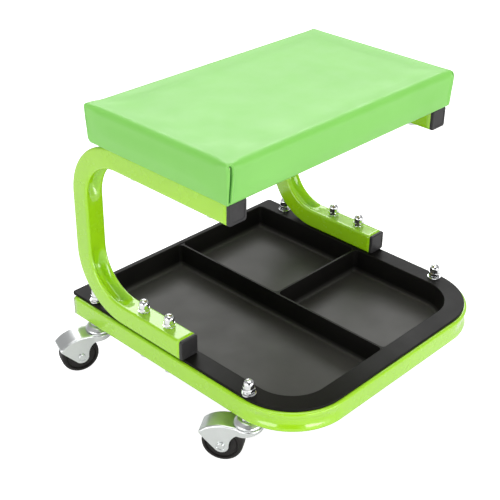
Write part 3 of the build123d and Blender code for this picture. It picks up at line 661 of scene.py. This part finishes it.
class SeatShape:
    """The padded seat as rings of points, from under the lip up to the crowned top."""

    def __init__(self, low, high, inset):
        self.centre = (low + high) / 2
        self.half_x = SEAT_HALF_X - inset
        self.half_y = SEAT_HALF_Y - inset
        self.bottom = low.z + inset
        self.top = high.z + SEAT_CROWN / 2 - inset
        self.height = self.top - self.bottom
        self.along_x = self.spread(self.half_x)
        self.along_y = self.spread(self.half_y)

    @staticmethod
    def spread(half):
        """Shares of one side's length at which its points lie, closer together at the folds."""
        reach = 2 * (half - SEAT_CORNER)
        near = list(np.arange(FOLD_STEP, FOLD_ZONE, FOLD_STEP))
        first = near[-1] + FOLD_ZONE_GAP
        count = max(2, int(round((reach - 2 * first) / SIDE_STEP)))
        middle = list(np.linspace(first, reach - first, count + 1))
        return [value / reach for value in near + middle + [reach - n for n in reversed(near)]]

    def ring(self, offset, z):
        """One closed loop, as (place, outward normal, distance) for each point.

        The distance is from the nearest corner's diagonal, + on the long side, - on the short.
        """
        radius = max(SEAT_CORNER + offset, SMALLEST_CORNER)
        arc = radius * math.pi / 2
        cx = self.half_x + offset - radius
        cy = self.half_y + offset - radius
        sides = [
            ((cx, -cy - radius), (-cx, -cy - radius), self.along_x, (0, -1), 270),
            ((-cx - radius, -cy), (-cx - radius, cy), self.along_y, (-1, 0), 180),
            ((-cx, cy + radius), (cx, cy + radius), self.along_x, (0, 1), 90),
            ((cx + radius, cy), (cx + radius, -cy), self.along_y, (1, 0), 0),
        ]
        corners = [(-cx, -cy), (-cx, cy), (cx, cy), (cx, -cy)]
        flat_loop = []
        for (start, end, shares, normal, angle), corner in zip(sides, corners):
            start, end, normal = Vector(start), Vector(end), Vector(normal)
            sign = 1 if normal.y else -1
            for share in shares:
                along = arc / 2 + min(share, 1 - share) * (end - start).length
                flat_loop.append((start.lerp(end, share), normal, sign * along))
            for k in range(CORNER_POINTS):
                turn = k / (CORNER_POINTS - 1)
                phi = math.radians(angle - 90 * turn)
                turned = Vector((math.cos(phi), math.sin(phi)))
                flat_loop.append((Vector(corner) + turned * radius, turned, sign * arc * (0.5 - turn)))
        return [
            (Vector((p.x + self.centre.x, p.y + self.centre.y, z)), Vector((n.x, n.y, 0)), along)
            for p, n, along in flat_loop
        ]

    def sharper_corner(self, place, outward, flat, tilt):
        """Shift that keeps the pinched top corners sharper than the edges between them."""
        if tilt < 0:
            return Vector((0, 0, 0))
        from_centre = place - self.centre
        inland = max(self.half_x - abs(from_centre.x), self.half_y - abs(from_centre.y))
        corner_round = SEAT_TOP_ROUND_AT_CORNER["left" if from_centre.x < 0 else "right"]
        weight = float(smoothstep(SHARPER_FROM, SHARPER_FULL, inland)) * (SEAT_TOP_ROUND - corner_round)
        wall_share = (place.z - self.bottom) / (self.height - SEAT_TOP_ROUND)
        rise = weight * (1 - tilt) * float(smoothstep(0.5, 1.0, wall_share))
        return outward * weight * (1 - flat) + Vector((0, 0, rise))

    def profile(self, lip):
        """(offset from the side, height, upward share of the normal) from the lip to the top."""
        steps = []
        if lip:
            lip_from = -SEAT_TAPER - SEAT_BOTTOM_ROUND
            for share in np.linspace(1, 0, LIP_STEPS + 1)[:-1]:
                steps.append((lip_from - share * (LIP - SEAT_BOTTOM_ROUND), 0.0, -1.0))
        for turn in np.radians(np.linspace(0, 90, BOTTOM_STEPS + 1)[:-1]):
            steps.append((-SEAT_TAPER - SEAT_BOTTOM_ROUND * (1 - math.sin(turn)),
                          SEAT_BOTTOM_ROUND * (1 - math.cos(turn)), -math.cos(turn)))
        wall_from, wall_to = SEAT_BOTTOM_ROUND, self.height - SEAT_TOP_ROUND
        for share in np.linspace(0, 1, WALL_STEPS + 1):
            steps.append((-SEAT_TAPER * (1 - share), wall_from + (wall_to - wall_from) * share, 0.0))
        for turn in np.radians(np.linspace(0, 90, TOP_STEPS + 1)[1:]):
            steps.append((-SEAT_TOP_ROUND * (1 - math.cos(turn)),
                          wall_to + SEAT_TOP_ROUND * math.sin(turn), math.sin(turn)))
        return [(offset, self.bottom + up, tilt) for offset, up, tilt in steps]


def seat_block(low, high):
    """A rounded block a little smaller than the seat, remeshed evenly."""
    size = Vector((2 * SEAT_HALF_X, 2 * SEAT_HALF_Y, high.z - low.z))
    centre = (low + high) / 2
    work = bmesh.new()
    bmesh.ops.create_cube(work, size=1.0)
    for vertex in work.verts:
        for axis in range(3):
            vertex.co[axis] = vertex.co[axis] * (size[axis] - 2 * BLOCK_INSET) + centre[axis]
    bmesh.ops.bevel(work, geom=work.edges, offset=BLOCK_ROUND, segments=4, profile=0.5, affect="EDGES")
    mesh = bpy.data.meshes.new("seat_simulation")
    work.to_mesh(mesh)
    work.free()
    block = bpy.data.objects.new("seat_simulation", mesh)
    scene.collection.objects.link(block)
    remesh = block.modifiers.new("remesh", "REMESH")
    remesh.mode = "VOXEL"
    remesh.voxel_size = BLOCK_VOXEL
    apply_modifiers(block)
    return block


def inflate(block, low):
    """Blows the block up by a cloth simulation, held along the bottom, and caps the movement."""
    start = np.array([v.co for v in block.data.vertices])
    stapled = block.vertex_groups.new(name="stapled")
    stapled.add([i for i, p in enumerate(start) if p[2] < low.z + STAPLED_HEIGHT], 1.0, "REPLACE")
    cloth = block.modifiers.new("cloth", "CLOTH")
    cloth.settings.vertex_group_mass = "stapled"
    cloth.settings.use_pressure = True
    cloth.settings.uniform_pressure_force = PRESSURE
    cloth.settings.effector_weights.gravity = 0.0
    cloth.settings.quality = 5
    cloth.settings.tension_stiffness = TENSION
    cloth.settings.bending_stiffness = BENDING
    cloth.collision_settings.use_collision = False
    cloth.point_cache.frame_start = 1
    cloth.point_cache.frame_end = LAST_FRAME
    for step in range(1, LAST_FRAME + 1):
        scene.frame_set(step)
    apply_modifiers(block)
    move = np.array([v.co for v in block.data.vertices]) - start
    length = np.linalg.norm(move, axis=1, keepdims=True)
    move *= np.where(length > LONGEST_MOVE, LONGEST_MOVE / np.maximum(length, 1e-9), 1.0)
    for vertex, place in zip(block.data.vertices, start + move):
        vertex.co = place
    scene.frame_set(1)


def inflated_seat(low, high):
    """The blown-up block, smoothed, as a search tree."""
    block = seat_block(low, high)
    inflate(block, low)
    soften = block.modifiers.new("soften", "SMOOTH")
    soften.iterations = 6
    subdivide = block.modifiers.new("subdivide", "SUBSURF")
    subdivide.levels = 1
    apply_modifiers(block)
    tree = BVHTree.FromObject(block, bpy.context.evaluated_depsgraph_get())
    bpy.data.objects.remove(block)
    return tree


def seat_rings(shape, lip):
    """The skin below the top: places, normals, distances from the corners and faces."""
    profile = shape.profile(lip)
    points, normals, around, starts = [], [], [], []
    for offset, z, tilt in profile:
        starts.append(len(points))
        flat = math.sqrt(max(0.0, 1 - tilt * tilt))
        for place, outward, along in shape.ring(offset, z):
            points.append(place + shape.sharper_corner(place, outward, flat, tilt))
            normals.append((outward * flat + Vector((0, 0, tilt))).normalized())
            around.append(along)
    count = len(points) // len(profile)
    faces = []
    for lower, upper in zip(starts, starts[1:]):
        faces += loop_band(upper, lower, count)
    return points, normals, around, faces


def top_edges(shape, total):
    """Indices along the last ring's front, left, rear and right, with total points so far.

    Each runs to the right or to the rear, from the middle of one corner arc to the next.
    """
    side_counts = [len(shape.along_x), len(shape.along_y)] * 2
    count = sum(side_counts) + 4 * CORNER_POINTS
    half = (CORNER_POINTS - 1) // 2
    edges, cursor = [], 0
    for side_count in side_counts:
        first = cursor - half - 1
        edges.append([total - count + (first + k) % count for k in range(side_count + 2 * half + 2)])
        cursor += side_count + CORNER_POINTS
    front, left, rear, right = edges
    return front[::-1], left, rear, right[::-1]


def fill_top(shape, points, normals, around, faces):
    """Adds the top: a grid blended from the four edges of the last ring."""
    front, left, rear, right = top_edges(shape, len(points))
    rows, columns = len(left), len(front)
    grid = np.zeros((rows, columns), int)
    grid[0, :] = front
    grid[-1, :] = rear
    grid[:, 0] = left
    grid[:, -1] = right
    front_left, front_right = points[grid[0, 0]], points[grid[0, -1]]
    rear_left, rear_right = points[grid[-1, 0]], points[grid[-1, -1]]
    for r in range(1, rows - 1):
        v = (points[left[r]].y - front_left.y) / (rear_left.y - front_left.y)
        for c in range(1, columns - 1):
            u = (points[front[c]].x - front_left.x) / (front_right.x - front_left.x)
            along = points[front[c]] * (1 - v) + points[rear[c]] * v
            across = points[left[r]] * (1 - u) + points[right[r]] * u
            lower = front_left * (1 - u) + front_right * u
            upper = rear_left * (1 - u) + rear_right * u
            grid[r, c] = len(points)
            points.append(along + across - (lower * (1 - v) + upper * v))
            normals.append(Vector((0, 0, 1)))
            around.append(shape.half_x)
    for r in range(rows - 1):
        for c in range(columns - 1):
            faces.append((grid[r, c], grid[r, c + 1], grid[r + 1, c + 1], grid[r + 1, c]))


def seat_surface(name, low, high, inset, lip, tree, material):
    """Seat skin as one mesh: rings up the side and a grid over the top, swollen and folded."""
    shape = SeatShape(low, high, inset)
    points, normals, around, faces = seat_rings(shape, lip)
    fill_top(shape, points, normals, around, faces)
    points, normals, around = np.array(points), np.array(normals), np.array(around)
    points += normals * seat_swell(points, normals, tree, shape)[:, None]
    points += normals * seat_folds(points, normals, around, shape)[:, None]
    up = (points[:, 2] - shape.bottom) / shape.height
    outside = smoothstep(DROOP_START, DROOP_FULL, np.abs(points[:, 0] - shape.centre.x))
    points[:, 2] -= SEAT_EDGE_DROOP * outside * smoothstep(0.3, 0.0, up)
    return new_object(name, points, faces, material)


def seat_swell(points, normals, tree, shape):
    """How far the simulated pad stands from the plain shape: full in the middle, none at edges."""
    swell = np.zeros(len(points))
    for i, (p, n) in enumerate(zip(points, normals)):
        if n[2] < -0.3:  # under the seat
            continue
        hit = tree.ray_cast(Vector(p + n * SEARCH_REACH), Vector(-n), 2 * SEARCH_REACH)
        if hit[0] is not None:
            swell[i] = SEARCH_REACH - hit[3]
    from_x = shape.half_x - np.abs(points[:, 0] - shape.centre.x)
    from_y = shape.half_y - np.abs(points[:, 1] - shape.centre.y)
    up = (points[:, 2] - shape.bottom) / shape.height
    on_top = normals[:, 2] > 0.9
    on_side = np.abs(normals[:, 2]) < 0.1
    inland = smoothstep(4 * MM, 42 * MM, np.minimum(from_x, from_y))
    wall = smoothstep(0.05, 0.4, up) * (1 - smoothstep(0.55, 0.95, up))
    wall *= smoothstep(6 * MM, 45 * MM, np.maximum(from_x, from_y))
    top_level = np.median(swell[on_top & (inland > 0.9)])
    side_level = np.median(swell[on_side])
    top_swell = SEAT_CROWN * inland + TOP_SHARE * (swell - top_level) * inland
    side_swell = (SIDE_SWELL_LEVEL + SIDE_SHARE * (swell - side_level)) * wall
    return np.clip(np.where(on_top, top_swell, side_swell), *SWELL_LIMITS)


def seat_folds(points, normals, around, shape):
    """How far the folds, puckers and the staples' pull move each point along its normal."""
    signed_x = points[:, 0] - shape.centre.x
    signed_y = points[:, 1] - shape.centre.y
    up = (points[:, 2] - shape.bottom) / shape.height
    tilt = np.clip(normals[:, 2], -1, 1)
    side_wall = np.abs(tilt) < 0.8
    from_corner = np.abs(around)
    # One fold at each corner, whose line hooks in to the diagonal at the top
    line = np.where(signed_y < 0, FOLD_LINE["front"], FOLD_LINE["rear"])
    line = line * (0.55 + 0.45 * smoothstep(0.0, 0.7, up)) * smoothstep(1.02, 0.88, up)
    strength = smoothstep(0.995, 0.93, up) * smoothstep(0.0, 0.10, up)
    past = around - line
    move = -FOLD_DEPTH * np.exp(-np.abs(past / FOLD_HALF) ** FOLD_SQUARENESS) * strength
    move += HEM_HEIGHT * bump_at(past, HEM_PLACE, HEM_WIDTH) * strength
    move += TUCK_HEIGHT * bump_at(past, TUCK_PLACE, TUCK_WIDTH) * strength
    # Soft upright puckers close to each corner
    pucker = np.sin(from_corner / PUCKER_LENGTH) * np.exp(-from_corner / PUCKER_REACH)
    pucker *= smoothstep(0.98, 0.6, up) * smoothstep(4 * MM, 7 * MM, from_corner)
    move += PUCKER_HEIGHT * pucker * side_wall
    # The edge under the seat is pulled in at each staple
    along_side = np.where(around > 0, signed_x, signed_y)
    pull = 0.5 + 0.5 * np.cos(along_side / STAPLE_STEP * 2 * math.pi)
    move -= STAPLE_PULL * pull * bump_at(up, 0.05, 0.12) * (tilt > -0.8)
    # A very slight hollow along each side between top and bottom edges
    move -= SIDE_HOLLOW * bump_at(up, 0.35, 0.22) * side_wall
    return move


def seat_part(obj, node):
    """Lets an object stand for one of the seat's nodes."""
    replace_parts(obj, node)
    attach(obj, ROOT)


def seat():
    """Vinyl cover with folded corners, and the foam inside it."""
    tree = inflated_seat(SEAT_LOW, SEAT_HIGH)
    vinyl = MATERIALS["green_vinyl"]
    cover = seat_surface("seat_cover_vinyl", SEAT_LOW, SEAT_HIGH, 0.0, True, tree, vinyl)
    cover.data.materials.append(BACKING)
    thick = cover.modifiers.new("thickness", "SOLIDIFY")
    thick.thickness = VINYL
    thick.offset = -1
    thick.material_offset = 1
    thick.material_offset_rim = 0
    apply_modifiers(cover)
    seat_part(cover, "seat_cover")
    pad_low = Vector((SEAT_LOW.x, SEAT_LOW.y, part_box("seat_foam")[0].z))
    pad = seat_surface("seat_foam_pad", pad_low, SEAT_HIGH, FOAM_INSET, False, tree, MATERIALS["foam"])
    face_outwards(pad, close=True)
    seat_part(pad, "seat_foam")


seat()


# ------------------------------------------------------------------ stage, light and camera
FLOOR_HALF = 9.0
FLOOR_GLOW_SEEN = 0.95  # to the camera
FLOOR_GLOW = 0.32  # to everything else
SKY = 0.40
WHITE = 1 / SKY

# A darker patch of the surround, behind the camera: where it is, and how it fades in
DARK_TOWARDS = (-0.70, -0.68, 0.22)
DARK_FROM, DARK_FULL = 0.70, 0.94  # cosine of the angle from its middle
DARK_TONE = (0.20, 0.20, 0.205)

# Name: place, aim, width, height, watts
LIGHTS = {
    "rear_softbox": ((1.75, 1.75, 2.2), (0, 0, 0.25), 3.0, 1.35, 48),
    "overhead_softbox": ((-0.2, -0.3, 2.7), (0, 0, 0.2), 2.6, 2.6, 38),
    "front_strip": ((0.05, -2.5, 0.42), (0, 0, 0.05), 2.35, 0.55, 30),
    "left_strip": ((-2.5, -0.05, 0.42), (0, 0, 0.05), 2.3, 0.55, 20),
}

CAMERA_AZIMUTH = math.radians(-46.37)  # from the front, - to the left
CAMERA_ELEVATION = math.radians(29.81)
CAMERA_ROLL = math.radians(0.894)
CAMERA_TARGET = Vector((0.41, 56.96, 137.49)) * MM
CAMERA_DISTANCE = 1315.8 * MM
CAMERA_LENS, CAMERA_SENSOR = 75.205, 36.0
CAMERA_SHIFT = (0.0022, -0.0068)


def stage():
    """Pale seamless floor that reads as white to the camera."""
    s = Shader("floor")
    tone = s.noise(3.0, 2.0)
    s.colour(s.ramp(tone, 0.3, (0.59, 0.59, 0.59), 0.7, (0.61, 0.61, 0.61)))
    s.set(Roughness=0.9, Specular_IOR_Level=0.1, Emission_Color=(1, 1, 1, 1))
    seen = s.node("ShaderNodeLightPath").outputs["Is Camera Ray"]
    s.link(s.span(seen, 0, 1, FLOOR_GLOW, FLOOR_GLOW_SEEN), s.principled.inputs["Emission Strength"])
    points = [(x * FLOOR_HALF, y * FLOOR_HALF, 0) for x, y in ((-1, -1), (1, -1), (1, 1), (-1, 1))]
    new_object("floor", points, [(0, 1, 2, 3)], s.material)


def soft_light(name, place, target, width, height, power):
    """Rectangular soft light aimed at a point."""
    data = bpy.data.lights.new(name, "AREA")
    data.shape = "RECTANGLE"
    data.size = width
    data.size_y = height
    data.energy = power
    lamp = bpy.data.objects.new(name, data)
    lamp.location = place
    lamp.rotation_euler = (Vector(target) - Vector(place)).to_track_quat("-Z", "Y").to_euler()
    lamp.visible_camera = False
    scene.collection.objects.link(lamp)


def world():
    """White surround with a darker patch behind the camera, for the metal to reflect."""
    surround = bpy.data.worlds.new("studio")
    scene.world = surround
    surround.use_nodes = True
    tree = surround.node_tree
    background = tree.nodes["Background"]
    coords = tree.nodes.new("ShaderNodeTexCoord")
    dot = tree.nodes.new("ShaderNodeVectorMath")
    dot.operation = "DOT_PRODUCT"
    dot.inputs[1].default_value = Vector(DARK_TOWARDS).normalized()
    tree.links.new(coords.outputs["Generated"], dot.inputs[0])
    ramp = tree.nodes.new("ShaderNodeValToRGB")
    light, dark = ramp.color_ramp.elements
    light.position = DARK_FROM
    light.color = (1, 1, 1, 1)
    dark.position = DARK_FULL
    dark.color = (*DARK_TONE, 1)
    tree.links.new(dot.outputs["Value"], ramp.inputs["Fac"])
    path = tree.nodes.new("ShaderNodeLightPath")
    mix = tree.nodes.new("ShaderNodeMix")
    mix.data_type = "RGBA"
    tree.links.new(path.outputs["Is Camera Ray"], mix.inputs["Factor"])
    tree.links.new(ramp.outputs["Color"], mix.inputs["A"])
    mix.inputs["B"].default_value = (WHITE, WHITE, WHITE, 1)
    tree.links.new(mix.outputs["Result"], background.inputs["Color"])
    background.inputs["Strength"].default_value = SKY


def camera():
    """Camera at the front left, looking down at the seat."""
    back = Vector((
        math.sin(CAMERA_AZIMUTH) * math.cos(CAMERA_ELEVATION),
        -math.cos(CAMERA_AZIMUTH) * math.cos(CAMERA_ELEVATION),
        math.sin(CAMERA_ELEVATION),
    ))
    data = bpy.data.cameras.new("camera")
    data.sensor_width = CAMERA_SENSOR
    data.lens = CAMERA_LENS
    data.shift_x, data.shift_y = CAMERA_SHIFT
    shot = bpy.data.objects.new("camera", data)
    shot.location = CAMERA_TARGET + back * CAMERA_DISTANCE
    shot.rotation_mode = "QUATERNION"
    shot.rotation_quaternion = (-back).to_track_quat("-Z", "Y") @ Quaternion((0, 0, 1), CAMERA_ROLL)
    scene.collection.objects.link(shot)
    scene.camera = shot


stage()
world()
for light_name, light_settings in LIGHTS.items():
    soft_light(light_name, *light_settings)
camera()
scene.view_settings.view_transform = "Standard"
